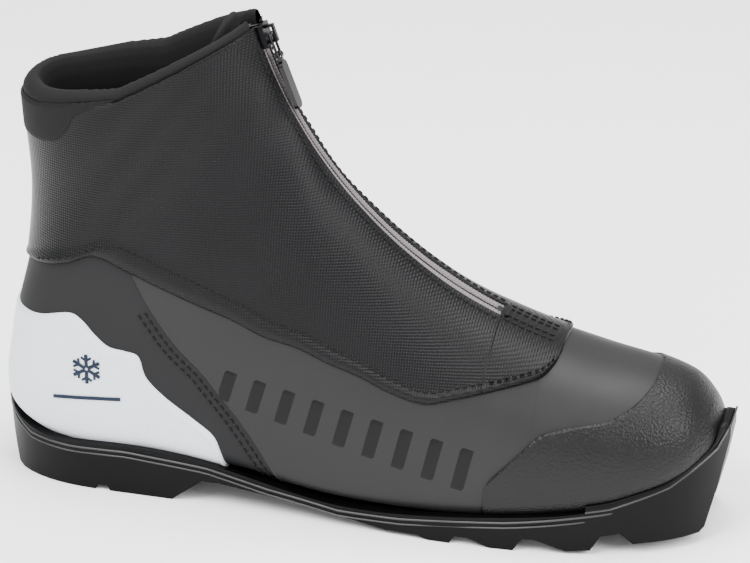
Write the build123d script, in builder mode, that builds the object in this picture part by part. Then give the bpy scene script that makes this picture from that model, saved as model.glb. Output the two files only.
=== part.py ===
"""Cross-country ski boot for the right foot, as an assembly of separate pieces, in millimetres.

+X points to the toe, +Y to the inner (medial) side and +Z up.  The origin is on the ground, in the
middle of the boot's length and width.

The upper is a fan of sections: each section stands on the keel line under the foot and leans over to
the ridge line over the toes, instep and shin.  Every layer of the upper is the same fan, moved in or
out by the layer's depth, and every panel is a piece cut out of its layer.
"""
from build123d import *
import math
import os

os.makedirs("parts", exist_ok=True)

# ---- Upper: ridge and keel lines (x, z) and half widths, from the toe tip to above the collar ----
ZIP_CENTRE = (128.0, 244.5)  # centre of the arc that the zip and the instep follow, seen from the side
ZIP_RADIUS = 178.8  # from that centre to the middle of the zip's coils
RIDGE_RADIUS = 177.8  # the instep's outer surface, a millimetre proud of the coils


def on_arc(radius, degrees):
    """A point (x, z) at this radius and angle about the zip arc's centre."""
    turn = math.radians(degrees)
    return (ZIP_CENTRE[0] + radius * math.cos(turn), ZIP_CENTRE[1] + radius * math.sin(turn))


TOE_RIDGE = [(147, 40.5), (145.5, 46.5), (141, 53.5), (132.5, 60.5), (117.5, 65), (96, 69), (67.5, 77.5)]
INSTEP_ANGLES = [240.5, 231, 222.5, 215, 209, 204.5, 201, 198, 195, 192, 188]
RIDGE = TOE_RIDGE + [on_arc(RIDGE_RADIUS, angle) for angle in INSTEP_ANGLES]
SOLE_KEEL = [(147, 33), (145.5, 27), (141, 23), (133.5, 18.5), (119.5, 13), (97, 9), (66, 6.5)]
ARCH_KEEL = [(30, 6.3), (-8, 8.3), (-45, 12.5), (-82, 14), (-118, 13.5)]
HEEL_KEEL = [(-144.8, 28), (-145, 60), (-138.8, 92), (-136.2, 120), (-137.8, 150), (-139, 170)]
KEEL = SOLE_KEEL + ARCH_KEEL + HEEL_KEEL
LATERAL = [3, 12.5, 21.5, 30, 37.5, 43, 45.5, 44.5, 41.5, 38, 35.5, 35, 35, 35, 35, 35.5, 36, 36.5]
MEDIAL = [3, 12.5, 21.5, 30, 38, 44.5, 46.5, 44, 40, 37, 35.5, 35, 35, 35, 35, 35.5, 36, 36.5]
FULLEST = [0.5, 0.5, 0.46, 0.42, 0.38, 0.35, 0.3, 0.28, 0.28, 0.3, 0.34, 0.4, 0.44, 0.48] + [0.5] * 4
KEEL_ROUNDNESS = [2, 2.2, 2.2, 2.2, 2.5, 3.5, 4.6, 6.5, 8.6, 7.6, 6.6, 5.3, 4, 3] + [2.2] * 4
RIDGE_ROUNDNESS = 2.1
TOE_START = 90.0  # ahead of this x, a layer's depth also moves its sections back from the toe tip
NARROWEST = 5.0  # a layer starts at the first section that leaves it more than this half width
SECTION_STEPS = 16

# ---- Depths of the layers under the outer surface ----
OUTER_LAYER = (0.0, 1.2)  # cover, flaps, toe cap, heel counter
MAIN_LAYER = (1.5, 3.0)  # vamp and quarters
STIFF_LAYER = (3.2, 4.4)  # toe puff, heel stiffener, lasting board, eyestays
LINING_LAYER = (4.6, 6.6)
LOOP_LAYER = (4.6, 6.0)  # lace loops
COLLAR_LAYER = (4.6, 9.0)  # padded collar
TONGUE_LAYER = (9.4, 13.0)
BINDING_LAYER = (1.6, 9.0)  # rolled edge over the collar
FOOTBED_DEPTH = 6.8
SOLE_CUP_CLEARANCE = 0.15  # between the upper's outside and the sole's cup

# ---- Collar, throat and zip ----
COLLAR_LINE = [(200, 322.2), (-90, 171.4), (-126, 164.3), (-200, 163)]  # side view, front to back
COLLAR_EDGE = 3.0  # height of the rolled edge
COLLAR_PAD = 27.0  # height of the padded band under the edge
THROAT = 16.0  # half width of the throat between the eyestays
LINING_FRONT = 20.0  # half width that the lining leaves open over the tongue
EYESTAY_WIDTH = 12.0
ZIP_TOP = 197.0
ZIP_BOTTOM = 245.6
ZIP_END = 246.6  # end of the zip's window in the cover
ZIP_WINDOW = 7.5  # half width of the window
SLIDER_ANGLE = 198.6
SLIDER_HALF = 1.5  # degrees of arc, each way
COIL_START = 198.2
PULL_RADIUS = 174.4  # the pull's pivot, in the tunnel of the slider's bridge
LINK_LENGTH = 9.3  # between the middles of the link's two cross bars
LINK_WIDTH = 4.2
LINK_WIRE = 1.2
TAB_SIZE = (20.0, 6.2, 1.8)
COIL_WIDTH = 2.1
COIL_HEIGHT = 1.5
TAPE_THICKNESS = 0.6
TAPE_WIDTH = 9.2
TAPE_FALL = 2.7  # how far the tape dips from the coils to its outer edge
LOOP_ANGLES = [211.0, 217.5, 224.0, 230.5, 237.0]
LOOP_WIDTH = 7.0
LACE_HOLE = 1.6

# ---- Sole ----
BAR_DIAMETER = 4.5
BAR_LENGTH = 29.0
BAR_CENTRE = (141.0, 12.5)
RECESS_HALF = 10.5  # half width of the opening in front of the bar
INSERT_HALF = 15.5
GROOVE_SPACING = 24.0
GROOVE_WIDTH = 7.0
WIDE = 120.0  # reach of a side cut, past both sides of the boot


def section_plane(index, depth):
    """Plane of one section: origin on the keel, local x to the medial side, local y to the ridge."""
    toe_share = max(0.0, (KEEL[index][0] - TOE_START) / (KEEL[0][0] - TOE_START))
    shift = depth * toe_share**2
    rise = Vector(RIDGE[index][0] - KEEL[index][0], 0, RIDGE[index][1] - KEEL[index][1])
    across = Vector(0, 1, 0)
    return Plane((KEEL[index][0] - shift, 0, KEEL[index][1]), x_dir=across, z_dir=across.cross(rise))


def sections_for(depth):
    """Numbers of the sections that are wide enough for a layer of this depth, the toe tip first."""
    wide_enough = [index for index in range(len(KEEL)) if LATERAL[index] > NARROWEST + depth]
    return range(0 if depth <= 0 else wide_enough[0], len(KEEL))


def half_outline(index, depth, width):
    """Points of half a section, ridge to keel, as (distance from the middle, height over the keel)."""
    rise = math.dist(RIDGE[index], KEEL[index])
    middle = FULLEST[index] * rise
    points = []
    for step in range(SECTION_STEPS + 1):
        turn = math.pi * step / SECTION_STEPS
        upper_half = turn < math.pi / 2
        reach = rise - middle - depth if upper_half else middle - depth
        power = RIDGE_ROUNDNESS if upper_half else KEEL_ROUNDNESS[index]
        across = round(math.sin(turn), 9)
        along = round(math.cos(turn), 9)
        radius = (abs(along / reach) ** power + (across / (width - depth)) ** power) ** (-1 / power)
        points.append((radius * across, middle + radius * along))
    return points


def section_outline(index, depth):
    """Closed outline of one section, as a face on its own plane."""
    lateral = [(-out, up) for out, up in half_outline(index, depth, LATERAL[index])]
    medial = half_outline(index, depth, MEDIAL[index])
    with BuildSketch(section_plane(index, depth)) as outline:
        with BuildLine():
            Spline(*lateral)
            Spline(*reversed(medial))
        make_face()
    return outline.sketch


def fan(depth):
    """The whole upper's space, this deep under the outer surface, as one solid."""
    with BuildPart() as space:
        loft([section_outline(index, depth) for index in sections_for(depth)], ruled=True)
    return space.part


def half_section(index, layer, side):
    """Outline of one layer on one side of one section, from the ridge round to the keel and back."""
    width = LATERAL[index] if side < 0 else MEDIAL[index]
    outer = [(side * out, up) for out, up in half_outline(index, layer[0], width)]
    inner = [(side * out, up) for out, up in half_outline(index, layer[1], width)]
    with BuildSketch(section_plane(index, layer[0])) as outline:
        with BuildLine():
            Spline(*outer)
            Line(outer[-1], inner[-1])
            Spline(*reversed(inner))
            Line(inner[0], outer[0])
        make_face()
    return outline.sketch


def side_prism(curve, corners, half_width=WIDE):
    """Solid across the boot whose side view is a smooth curve closed by straight runs."""
    with BuildPart() as prism:
        with BuildSketch(Plane.XZ):
            with BuildLine():
                Spline(*curve)
                Polyline(curve[-1], *corners, curve[0])
            make_face()
        extrude(amount=half_width, both=True)
    return prism.part


def side_block(corners, half_width=WIDE):
    """Solid across the boot whose side view has straight edges."""
    with BuildPart() as block:
        with BuildSketch(Plane.XZ):
            with BuildLine():
                Polyline(*corners, close=True)
            make_face()
        extrude(amount=half_width, both=True)
    return block.part


def side_slab(side, inner, outer):
    """Everything on one side of the boot whose distance from the middle is between two values."""
    with BuildPart() as slab:
        with BuildSketch(Plane.XY.offset(-50)):
            with Locations((0, side * (inner + outer) / 2)):
                Rectangle(400, outer - inner)
        extrude(amount=350)
    return slab.part


def below_collar(drop):
    """Everything more than this far below the collar line."""
    return side_block([(-200, -30), (200, -30)] + [(x, z - drop) for x, z in COLLAR_LINE])


def arc_plane(degrees):
    """Plane through the zip arc's axis: local x is the radius, local y points to the medial side."""
    turn = math.radians(degrees)
    centre = (ZIP_CENTRE[0], 0, ZIP_CENTRE[1])
    return Plane(centre, x_dir=(math.cos(turn), 0, math.sin(turn)), z_dir=(-math.sin(turn), 0, math.cos(turn)))


def half_shell(layer, side, drop):
    """One side of a layer, open this far below the collar line."""
    with BuildPart() as skin:
        loft([half_section(index, layer, side) for index in sections_for(layer[1])], ruled=True)
        add(below_collar(drop), mode=Mode.INTERSECT)
    return skin.part


def shell(layer, drop):
    """Both sides of a layer as one solid."""
    with BuildPart() as skin:
        add(half_shell(layer, -1, drop))
        add(half_shell(layer, 1, drop))
    return skin.part


MAIN_DROP = COLLAR_EDGE + 0.2  # the quarters stop under the rolled edge
STIFF_DROP = COLLAR_EDGE + COLLAR_PAD  # the stiff layer and the lining stop under the collar pad
ZIP_AXIS = Axis((ZIP_CENTRE[0], 0, ZIP_CENTRE[1]), (0, -1, 0))
SIDES = (("lateral", -1), ("medial", 1))

# ---- Side views of the panels ----
TOE_CAP_EDGE = [(120.5, 75), (120, 62.5), (115, 58.2), (103, 53), (91, 51), (80, 47), (61.6, 28.3), (58, 16)]
TOE_REGION = side_prism(TOE_CAP_EDGE, [(58, -10), (200, -10), (200, 75)])
COUNTER_EDGE = [(-155, 71.5), (-128, 73), (-112, 75.5), (-99, 63.5), (-86, 61), (-81.5, 51), (-62.5, 35.5),
                (-53.5, 28), (-53.5, 20), (-62, 12)]
COUNTER_REGION = side_prism(COUNTER_EDGE, [(-62, -10), (-200, -10), (-200, 71.5)])
VAMP_EDGE = [(-20, -5), (-33, 24), (-55, 52), (-79, 81), (-88, 97)]
VAMP_REGION = side_prism(VAMP_EDGE, [(-45, 91), (5, 77), (40, 71), (62, 72), (62, 120), (200, 120), (200, -5)])
COVER_SEAM = [(-155, 92), (-133, 93.5), (-114, 97.5), (-101, 102), (-88, 97), (-74, 91), (-45, 80.5),
              (-5, 67.5), (22, 58.5), (34, 56), (50, 59.5), (72, 64.5), (80, 69), (83.5, 80)]
COVER_REGION = side_prism(COVER_SEAM, [(83.5, 230), (-155, 230)])
PATCH_EDGE = [(-160, 144), (-133, 145), (-119, 146.5), (-112, 151), (-108.5, 158.5), (-88, 171)]
PATCH_REGION = side_prism(PATCH_EDGE, [(-88, 195), (-160, 195)])
THROAT_CORNERS = [(61, 110), (61, 60), (0, 60), (-60, 120), (-60, 230), (61, 230)]
BOARD_EDGE = [(-155, 24), (-118, 20), (-82, 20.5), (-45, 19), (-8, 15), (30, 13), (66, 13.5), (97, 16),
              (119, 20), (155, 30)]
BOARD_REGION = side_prism(BOARD_EDGE, [(155, -10), (-155, -10)])
INSOLE_EDGE = [(-155, 31), (-118, 26), (-82, 26), (-45, 24), (-8, 19.5), (30, 17.5), (66, 17.5), (97, 20),
               (119, 24), (155, 33)]
INSOLE_REGION = side_prism(INSOLE_EDGE, [(155, -10), (-155, -10)])


# ---- Outsole, with its toe insert, binding bar and shank ----
SOLE_TREAD = [(-142, 1.2), (-139, 0), (-104, 0), (-102.5, 2), (-99, 2), (-97.5, 0), (-71, 0), (-58, 9.8),
              (-48.7, 9.7), (-4.6, 5), (20, 1.5), (32, 1.5), (37.4, 0), (46, 0), (48, 3.2), (53, 3.2),
              (62, 0), (71.5, 0), (75, 5.2), (80, 5.2), (92, 1.2), (101.5, 1.8), (105.3, 8), (112.5, 9),
              (117.5, 4.2), (141, 4.4), (142.8, 6), (146.8, 22.6), (150, 40)]
SOLE_RIM = [(150, 46), (146, 38.5), (130, 27.5), (109, 20), (69, 13.8), (26, 9.4), (0, 8.7), (-30, 12.8),
            (-56, 18), (-90, 20.5), (-115, 19.5), (-134, 20.5), (-150, 28)]
SOLE_LATERAL = [(150, -8), (145, -17), (135, -28), (120, -37), (96, -44), (68, -46.6), (20, -44.6), (-20, -40),
                (-60, -36.8), (-95, -35.2), (-122, -31.5), (-139, -22), (-148, -9), (-150, 0)]
SOLE_MEDIAL = [(-150, 0), (-148, 9), (-139, 22), (-122, 31), (-95, 34.5), (-60, 35.5), (-20, 37.5), (20, 42.5),
               (68, 47.4), (96, 46), (120, 38.5), (135, 28.5), (145, 17), (150, 8)]

with BuildPart() as sole_block:
    with BuildSketch(Plane.XZ):
        with BuildLine():
            Spline(*SOLE_RIM)
            Polyline(SOLE_RIM[-1], *SOLE_TREAD, SOLE_RIM[0])
        make_face()
    extrude(amount=WIDE, both=True)
    with BuildSketch(Plane.XY.offset(-10)):
        with BuildLine():
            Spline(*SOLE_LATERAL)
            Spline(*SOLE_MEDIAL)
            Line(SOLE_MEDIAL[-1], SOLE_LATERAL[0])
        make_face()
    extrude(amount=80, mode=Mode.INTERSECT)
    add(fan(-SOLE_CUP_CLEARANCE), mode=Mode.SUBTRACT)

INSERT_BACK = 134.0
INSERT_TOP = 18.3
RECESS_BACK = 136.5
RECESS_TOP = 16.8
INSERT_SPACE = side_block([(INSERT_BACK, 0), (160, 0), (160, INSERT_TOP), (INSERT_BACK, INSERT_TOP)], INSERT_HALF)
RECESS = side_block([(RECESS_BACK, 0), (160, 0), (160, RECESS_TOP), (RECESS_BACK, RECESS_TOP)], RECESS_HALF)

with BuildPart() as binding_bar:
    with BuildSketch(Plane.XZ):
        with Locations(BAR_CENTRE):
            Circle(BAR_DIAMETER / 2)
    extrude(amount=BAR_LENGTH / 2, both=True)
    chamfer(binding_bar.edges().filter_by(GeomType.CIRCLE), length=0.4)
binding_bar.part.label = "binding_bar"
export_step(binding_bar.part, "parts/binding_bar.step")

with BuildPart() as toe_insert:
    add(sole_block.part)
    add(INSERT_SPACE, mode=Mode.INTERSECT)
    add(RECESS, mode=Mode.SUBTRACT)
    add(binding_bar.part, mode=Mode.SUBTRACT)
toe_insert.part.label = "toe_insert"
export_step(toe_insert.part, "parts/toe_insert.step")

SHANK_TOP = [(-100, 13.2), (-82, 13.4), (-45, 11.9), (-8, 7.7), (8, 6.6)]
SHANK_THICKNESS = 1.4
SHANK_HALF = 11.0


def shank_prism(thickness):
    """The shank's own profile, this thick over its under side."""
    under = [(x, z - SHANK_THICKNESS) for x, z in reversed(SHANK_TOP)]
    over = [(x, z - SHANK_THICKNESS + thickness) for x, z in SHANK_TOP]
    with BuildPart() as prism:
        with BuildSketch(Plane.XZ):
            with BuildLine():
                Spline(*over)
                Line(over[-1], under[0])
                Spline(*under)
                Line(under[-1], over[0])
            make_face()
        extrude(amount=SHANK_HALF, both=True)
    return prism.part


with BuildPart() as shank:
    add(shank_prism(SHANK_THICKNESS))
shank.part.label = "shank"
export_step(shank.part, "parts/shank.step")

with BuildPart() as outsole:
    add(sole_block.part)
    add(INSERT_SPACE, mode=Mode.SUBTRACT)
    add(RECESS, mode=Mode.SUBTRACT)
    add(shank_prism(SHANK_THICKNESS + 4), mode=Mode.SUBTRACT)
    for start, end, height in ((-150, -66, 6.0), (14, 100, 4.4), (100, INSERT_BACK - 4, 9.0)):
        with BuildSketch(Plane.XY.offset(-5)):
            with GridLocations(0, GROOVE_SPACING, 1, 2):
                with Locations(((start + end) / 2, 0)):
                    Rectangle(end - start, GROOVE_WIDTH)
        extrude(amount=height + 5, mode=Mode.SUBTRACT)
outsole.part.label = "outsole"
export_step(outsole.part, "parts/outsole.step")


# ---- Inside the upper: board, insole, stiffeners, lining, collar and tongue ----
with BuildPart() as lasting_board:
    add(shell(STIFF_LAYER, STIFF_DROP))
    add(BOARD_REGION, mode=Mode.INTERSECT)
lasting_board.part.label = "lasting_board"
export_step(lasting_board.part, "parts/lasting_board.step")

with BuildPart() as insole:
    add(fan(FOOTBED_DEPTH))
    add(INSOLE_REGION, mode=Mode.INTERSECT)
insole.part.label = "insole"
export_step(insole.part, "parts/insole.step")

with BuildPart() as heel_stiffener:
    add(shell(STIFF_LAYER, STIFF_DROP))
    add(side_block([(-200, 10), (-72, 10), (-86, 58), (-104, 78), (-200, 78)]), mode=Mode.INTERSECT)
    add(BOARD_REGION, mode=Mode.SUBTRACT)
heel_stiffener.part.label = "heel_stiffener"
export_step(heel_stiffener.part, "parts/heel_stiffener.step")

with BuildPart() as toe_puff:
    add(shell(STIFF_LAYER, STIFF_DROP))
    add(side_block([(88, 0), (200, 0), (200, 90), (108, 90)]), mode=Mode.INTERSECT)
    add(BOARD_REGION, mode=Mode.SUBTRACT)
toe_puff.part.label = "toe_puff"
export_step(toe_puff.part, "parts/toe_puff.step")

with BuildPart() as lining:
    add(shell(LINING_LAYER, STIFF_DROP + 0.2))
    add(side_block(THROAT_CORNERS, LINING_FRONT), mode=Mode.SUBTRACT)
lining.part.label = "lining"
export_step(lining.part, "parts/lining.step")

with BuildPart() as collar_pad:
    add(shell(COLLAR_LAYER, COLLAR_EDGE + 0.2))
    add(below_collar(COLLAR_EDGE + COLLAR_PAD), mode=Mode.SUBTRACT)
    add(side_block(THROAT_CORNERS, LINING_FRONT), mode=Mode.SUBTRACT)
collar_pad.part.label = "collar_pad"
export_step(collar_pad.part, "parts/collar_pad.step")

with BuildPart() as collar_binding:
    add(shell(BINDING_LAYER, 0))
    add(below_collar(COLLAR_EDGE), mode=Mode.SUBTRACT)
    add(side_block(THROAT_CORNERS, LINING_FRONT), mode=Mode.SUBTRACT)
collar_binding.part.label = "collar_binding"
export_step(collar_binding.part, "parts/collar_binding.step")

TONGUE_CORNERS = [(57, 90), (57, 55), (0, 62), (-58, 122), (-58, 230), (57, 230)]
with BuildPart() as tongue:
    add(shell(TONGUE_LAYER, -2))
    add(side_block(TONGUE_CORNERS, 22.0), mode=Mode.INTERSECT)
tongue.part.label = "tongue"
export_step(tongue.part, "parts/tongue.step")


# ---- Vamp, quarters, heel counter, toe cap and the collar's rear patch ----
with BuildPart() as vamp:
    add(shell(MAIN_LAYER, MAIN_DROP))
    add(VAMP_REGION, mode=Mode.INTERSECT)
vamp.part.label = "vamp"
export_step(vamp.part, "parts/vamp.step")

for side_name, side in SIDES:
    with BuildPart() as quarter:
        add(half_shell(MAIN_LAYER, side, MAIN_DROP))
        add(VAMP_REGION, mode=Mode.SUBTRACT)
        add(side_block(THROAT_CORNERS, THROAT), mode=Mode.SUBTRACT)
    quarter.part.label = f"quarter_{side_name}"
    export_step(quarter.part, f"parts/quarter_{side_name}.step")

with BuildPart() as heel_counter:
    add(shell(OUTER_LAYER, COLLAR_EDGE))
    add(COUNTER_REGION, mode=Mode.INTERSECT)
heel_counter.part.label = "heel_counter"
export_step(heel_counter.part, "parts/heel_counter.step")

with BuildPart() as toe_cap:
    add(shell(OUTER_LAYER, COLLAR_EDGE))
    loft([section_outline(1, 0), section_outline(0, 0)], ruled=True)
    add(TOE_REGION, mode=Mode.INTERSECT)
toe_cap.part.label = "toe_cap"
export_step(toe_cap.part, "parts/toe_cap.step")

with BuildPart() as rear_patch:
    add(shell(OUTER_LAYER, COLLAR_EDGE))
    add(PATCH_REGION, mode=Mode.INTERSECT)
rear_patch.part.label = "rear_patch"
export_step(rear_patch.part, "parts/rear_patch.step")


# ---- Eyestays and lace loops ----
EYESTAY_CORNERS = [(-36, 172), (-48, 152), (-30, 108), (10, 74), (48, 58), (58, 66), (58, 100), (0, 172)]
for side_name, side in SIDES:
    with BuildPart() as eyestay:
        add(half_shell(STIFF_LAYER, side, STIFF_DROP))
        add(side_block(EYESTAY_CORNERS), mode=Mode.INTERSECT)
        add(side_slab(side, THROAT, THROAT + EYESTAY_WIDTH), mode=Mode.INTERSECT)
    eyestay.part.label = f"eyestay_{side_name}"
    export_step(eyestay.part, f"parts/eyestay_{side_name}.step")

    with BuildPart() as lace_loops:
        for angle in LOOP_ANGLES:
            with BuildSketch(arc_plane(angle)):
                with Locations((187, side * 14.3)):
                    Rectangle(16, 9.6)
            extrude(amount=LOOP_WIDTH / 2, both=True)
        add(half_shell(LOOP_LAYER, side, 0), mode=Mode.INTERSECT)
        for angle in LOOP_ANGLES:
            middle = on_arc(187, angle)
            radial = (math.cos(math.radians(angle)), 0, math.sin(math.radians(angle)))
            with BuildSketch(Plane((middle[0], side * 12.8, middle[1]), x_dir=(0, 1, 0), z_dir=radial)):
                Circle(LACE_HOLE)
            extrude(amount=10, both=True, mode=Mode.SUBTRACT)
    lace_loops.part.label = f"lace_loops_{side_name}"
    export_step(lace_loops.part, f"parts/lace_loops_{side_name}.step")


# ---- Cover: fixed halves, and the flaps that swing open about a line from the zip's end ----
ZIP_FOOT = on_arc(ZIP_RADIUS, ZIP_END)
FLAP_TOP = (-75.0, 37.5, 179.5)  # the hinge line's end at the collar, beside the ankle
FLAP_MIDDLE = 220.0  # angle on the zip arc that sets which way the parting plane faces
FLAP_LEAN = 42.0  # degrees that the parting plane leans outwards from the middle plane
FLAP_GAP = 0.2


def flap_side(side, gap):
    """Everything above the zip's end that lies between one flap's parting plane and the middle plane."""
    foot = Vector(ZIP_FOOT[0], 0, ZIP_FOOT[1])
    hinge = Vector(FLAP_TOP[0], side * FLAP_TOP[1], FLAP_TOP[2]) - foot
    lean = math.radians(FLAP_LEAN)
    middle = math.radians(FLAP_MIDDLE)
    outward = Vector(-math.cos(middle) * math.cos(lean), side * math.sin(lean), -math.sin(middle) * math.cos(lean))
    facing = outward.cross(hinge) * side
    with BuildPart() as region:
        with BuildSketch(Plane(foot, x_dir=hinge, z_dir=facing).offset(gap)):
            with Locations((150 + gap, 0)):
                Rectangle(300, 600)
        extrude(amount=200)
    return region.part


with BuildPart() as zip_window:
    with BuildSketch(arc_plane(ZIP_TOP - 6)):
        with Locations((RIDGE_RADIUS, 0)):
            Rectangle(16, 2 * ZIP_WINDOW)
    revolve(axis=ZIP_AXIS, revolution_arc=ZIP_END + 0.4 - ZIP_TOP + 6)

for side_name, side in SIDES:
    with BuildPart() as cover:
        add(half_shell(OUTER_LAYER, side, COLLAR_EDGE))
        add(COVER_REGION, mode=Mode.INTERSECT)
        add(PATCH_REGION, mode=Mode.SUBTRACT)
        add(zip_window.part, mode=Mode.SUBTRACT)
        add(flap_side(side, -FLAP_GAP), mode=Mode.SUBTRACT)
    cover.part.label = f"cover_{side_name}"
    export_step(cover.part, f"parts/cover_{side_name}.step")

    with BuildPart() as flap:
        add(half_shell(OUTER_LAYER, side, COLLAR_EDGE))
        add(COVER_REGION, mode=Mode.INTERSECT)
        add(zip_window.part, mode=Mode.SUBTRACT)
        add(flap_side(side, FLAP_GAP), mode=Mode.INTERSECT)
    flap.part.label = f"flap_{side_name}"
    export_step(flap.part, f"parts/flap_{side_name}.step")


# ---- Zip: tapes, coils, stops, slider and pull ----
COIL_TOP = ZIP_RADIUS - 0.5
TAPE_TOP = COIL_TOP + COIL_HEIGHT + 0.1
TAPE_INNER = 1.2
for side_name, side in SIDES:
    with BuildPart() as zip_tape:
        with BuildSketch(arc_plane(ZIP_TOP - 1.5)):
            with BuildLine():
                Polyline(
                    (TAPE_TOP, side * TAPE_INNER),
                    (TAPE_TOP + TAPE_FALL, side * TAPE_WIDTH),
                    (TAPE_TOP + TAPE_FALL + TAPE_THICKNESS, side * TAPE_WIDTH),
                    (TAPE_TOP + TAPE_THICKNESS, side * TAPE_INNER),
                    close=True,
                )
            make_face()
        revolve(axis=ZIP_AXIS, revolution_arc=ZIP_END - ZIP_TOP + 1.5)
    zip_tape.part.label = f"zip_tape_{side_name}"
    export_step(zip_tape.part, f"parts/zip_tape_{side_name}.step")

    with BuildPart() as zip_coil:
        with BuildSketch(arc_plane(COIL_START)):
            with Locations((COIL_TOP + COIL_HEIGHT / 2, side * (0.15 + COIL_WIDTH / 2))):
                RectangleRounded(COIL_HEIGHT, COIL_WIDTH, 0.5)
        revolve(axis=ZIP_AXIS, revolution_arc=ZIP_BOTTOM - 0.2 - COIL_START)
    zip_coil.part.label = f"zip_coil_{side_name}"
    export_step(zip_coil.part, f"parts/zip_coil_{side_name}.step")

with BuildPart() as zip_bottom_stop:
    with BuildSketch(arc_plane(ZIP_BOTTOM)):
        with Locations((COIL_TOP + 0.6, 0)):
            RectangleRounded(1.7, 5.6, 0.7)
    revolve(axis=ZIP_AXIS, revolution_arc=ZIP_END - ZIP_BOTTOM)
zip_bottom_stop.part.label = "zip_bottom_stop"
export_step(zip_bottom_stop.part, "parts/zip_bottom_stop.step")


def arc_strip(start, end, inner, outer, half_width, offset=0.0):
    """Strip along the zip between two angles and two radii, this far to the medial side."""
    with BuildPart() as strip:
        with BuildSketch(arc_plane(start)):
            with Locations(((inner + outer) / 2, offset)):
                Rectangle(outer - inner, 2 * half_width)
        revolve(axis=ZIP_AXIS, revolution_arc=end - start)
    return strip.part


SLIDER_START = SLIDER_ANGLE - SLIDER_HALF
SLIDER_END = SLIDER_ANGLE + SLIDER_HALF
with BuildPart() as zip_slider:
    add(arc_strip(SLIDER_START, SLIDER_END, 175.6, 176.8, 4.2))
    add(arc_strip(SLIDER_START, SLIDER_END, 182.2, 183.2, 3.6))
    add(arc_strip(SLIDER_START, SLIDER_START + 0.8, 176.6, 182.4, 0.9))
    for side_name, side in SIDES:
        add(arc_strip(SLIDER_START, SLIDER_END, 176.6, 179.4, 0.5, side * 3.7))
    add(arc_strip(SLIDER_ANGLE - 1.2, SLIDER_ANGLE + 1.2, 172.2, 173.2, 1.0))
    add(arc_strip(SLIDER_ANGLE - 1.2, SLIDER_ANGLE - 0.85, 173.0, 175.8, 1.0))
    add(arc_strip(SLIDER_ANGLE + 0.85, SLIDER_ANGLE + 1.2, 173.0, 175.8, 1.0))
zip_slider.part.label = "zip_slider"
export_step(zip_slider.part, "parts/zip_slider.step")

PIVOT = on_arc(PULL_RADIUS, SLIDER_ANGLE)
PULL_AIM = on_arc(175.6, 207.6)  # the pull hangs along the line from its pivot to this point
PULL_RUN = Vector(PULL_AIM[0] - PIVOT[0], 0, PULL_AIM[1] - PIVOT[1]).normalized()
PULL_FACE = PULL_RUN.cross(Vector(0, 1, 0))
LINK_PLANE = Plane((PIVOT[0], 0, PIVOT[1]), x_dir=PULL_RUN, z_dir=PULL_FACE)
TAB_PLANE = Plane(LINK_PLANE.from_local_coords((LINK_LENGTH, 0, 0)), x_dir=PULL_RUN, z_dir=PULL_FACE)

with BuildPart() as pull_link:
    with BuildLine(LINK_PLANE) as link_path:
        FilletPolyline(
            (LINK_LENGTH, LINK_WIDTH / 2),
            (LINK_LENGTH, -LINK_WIDTH / 2),
            (0, -LINK_WIDTH / 2),
            (0, LINK_WIDTH / 2),
            radius=1.1,
            close=True,
        )
    with BuildSketch(Plane(link_path.line @ 0, z_dir=link_path.line % 0)):
        Circle(LINK_WIRE / 2)
    sweep()
pull_link.part.label = "pull_link"
export_step(pull_link.part, "parts/pull_link.step")

with BuildPart() as pull_tab:
    with BuildSketch(TAB_PLANE):
        with Locations((2.5 + TAB_SIZE[0] / 2, 0)):
            RectangleRounded(TAB_SIZE[0], TAB_SIZE[1], 2.2)
    extrude(amount=TAB_SIZE[2] / 2, both=True)
    with BuildSketch(Plane(TAB_PLANE.origin, x_dir=PULL_RUN, z_dir=(0, 1, 0))):
        Circle(1.65)
        with Locations((1.7, 0)):
            Rectangle(3.4, TAB_SIZE[2])
        Circle(0.95, mode=Mode.SUBTRACT)
    extrude(amount=1.1, both=True)
pull_tab.part.label = "pull_tab"
export_step(pull_tab.part, "parts/pull_tab.step")
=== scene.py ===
"""Cross-country ski boot: the visible pieces, built over the CAD frame."""

import math

import bmesh
import bpy
import numpy as np
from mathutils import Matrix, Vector


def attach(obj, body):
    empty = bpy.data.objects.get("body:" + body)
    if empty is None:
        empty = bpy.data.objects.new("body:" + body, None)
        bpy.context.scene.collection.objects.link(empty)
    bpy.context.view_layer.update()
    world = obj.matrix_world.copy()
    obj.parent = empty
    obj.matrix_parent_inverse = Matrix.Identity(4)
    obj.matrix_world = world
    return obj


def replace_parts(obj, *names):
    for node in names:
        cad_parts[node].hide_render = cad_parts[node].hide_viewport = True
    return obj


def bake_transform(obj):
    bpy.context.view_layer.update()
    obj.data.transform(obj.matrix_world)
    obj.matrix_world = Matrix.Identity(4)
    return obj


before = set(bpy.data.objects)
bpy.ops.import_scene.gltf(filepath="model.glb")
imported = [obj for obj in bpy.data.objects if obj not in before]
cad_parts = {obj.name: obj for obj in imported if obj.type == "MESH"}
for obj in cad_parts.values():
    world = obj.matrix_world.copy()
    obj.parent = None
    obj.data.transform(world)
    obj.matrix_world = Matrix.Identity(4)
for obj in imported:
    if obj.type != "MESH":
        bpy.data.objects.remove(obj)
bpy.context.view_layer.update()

# ---- The upper's surface, in millimetres: a fan of sections from the toe tip to above the collar ----
ZIP_CENTRE = (128.0, 244.5)
ZIP_RADIUS = 178.8
RIDGE_RADIUS = 177.8


def on_arc(radius, degrees):
    turn = math.radians(degrees)
    return (ZIP_CENTRE[0] + radius * math.cos(turn), ZIP_CENTRE[1] + radius * math.sin(turn))


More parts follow.
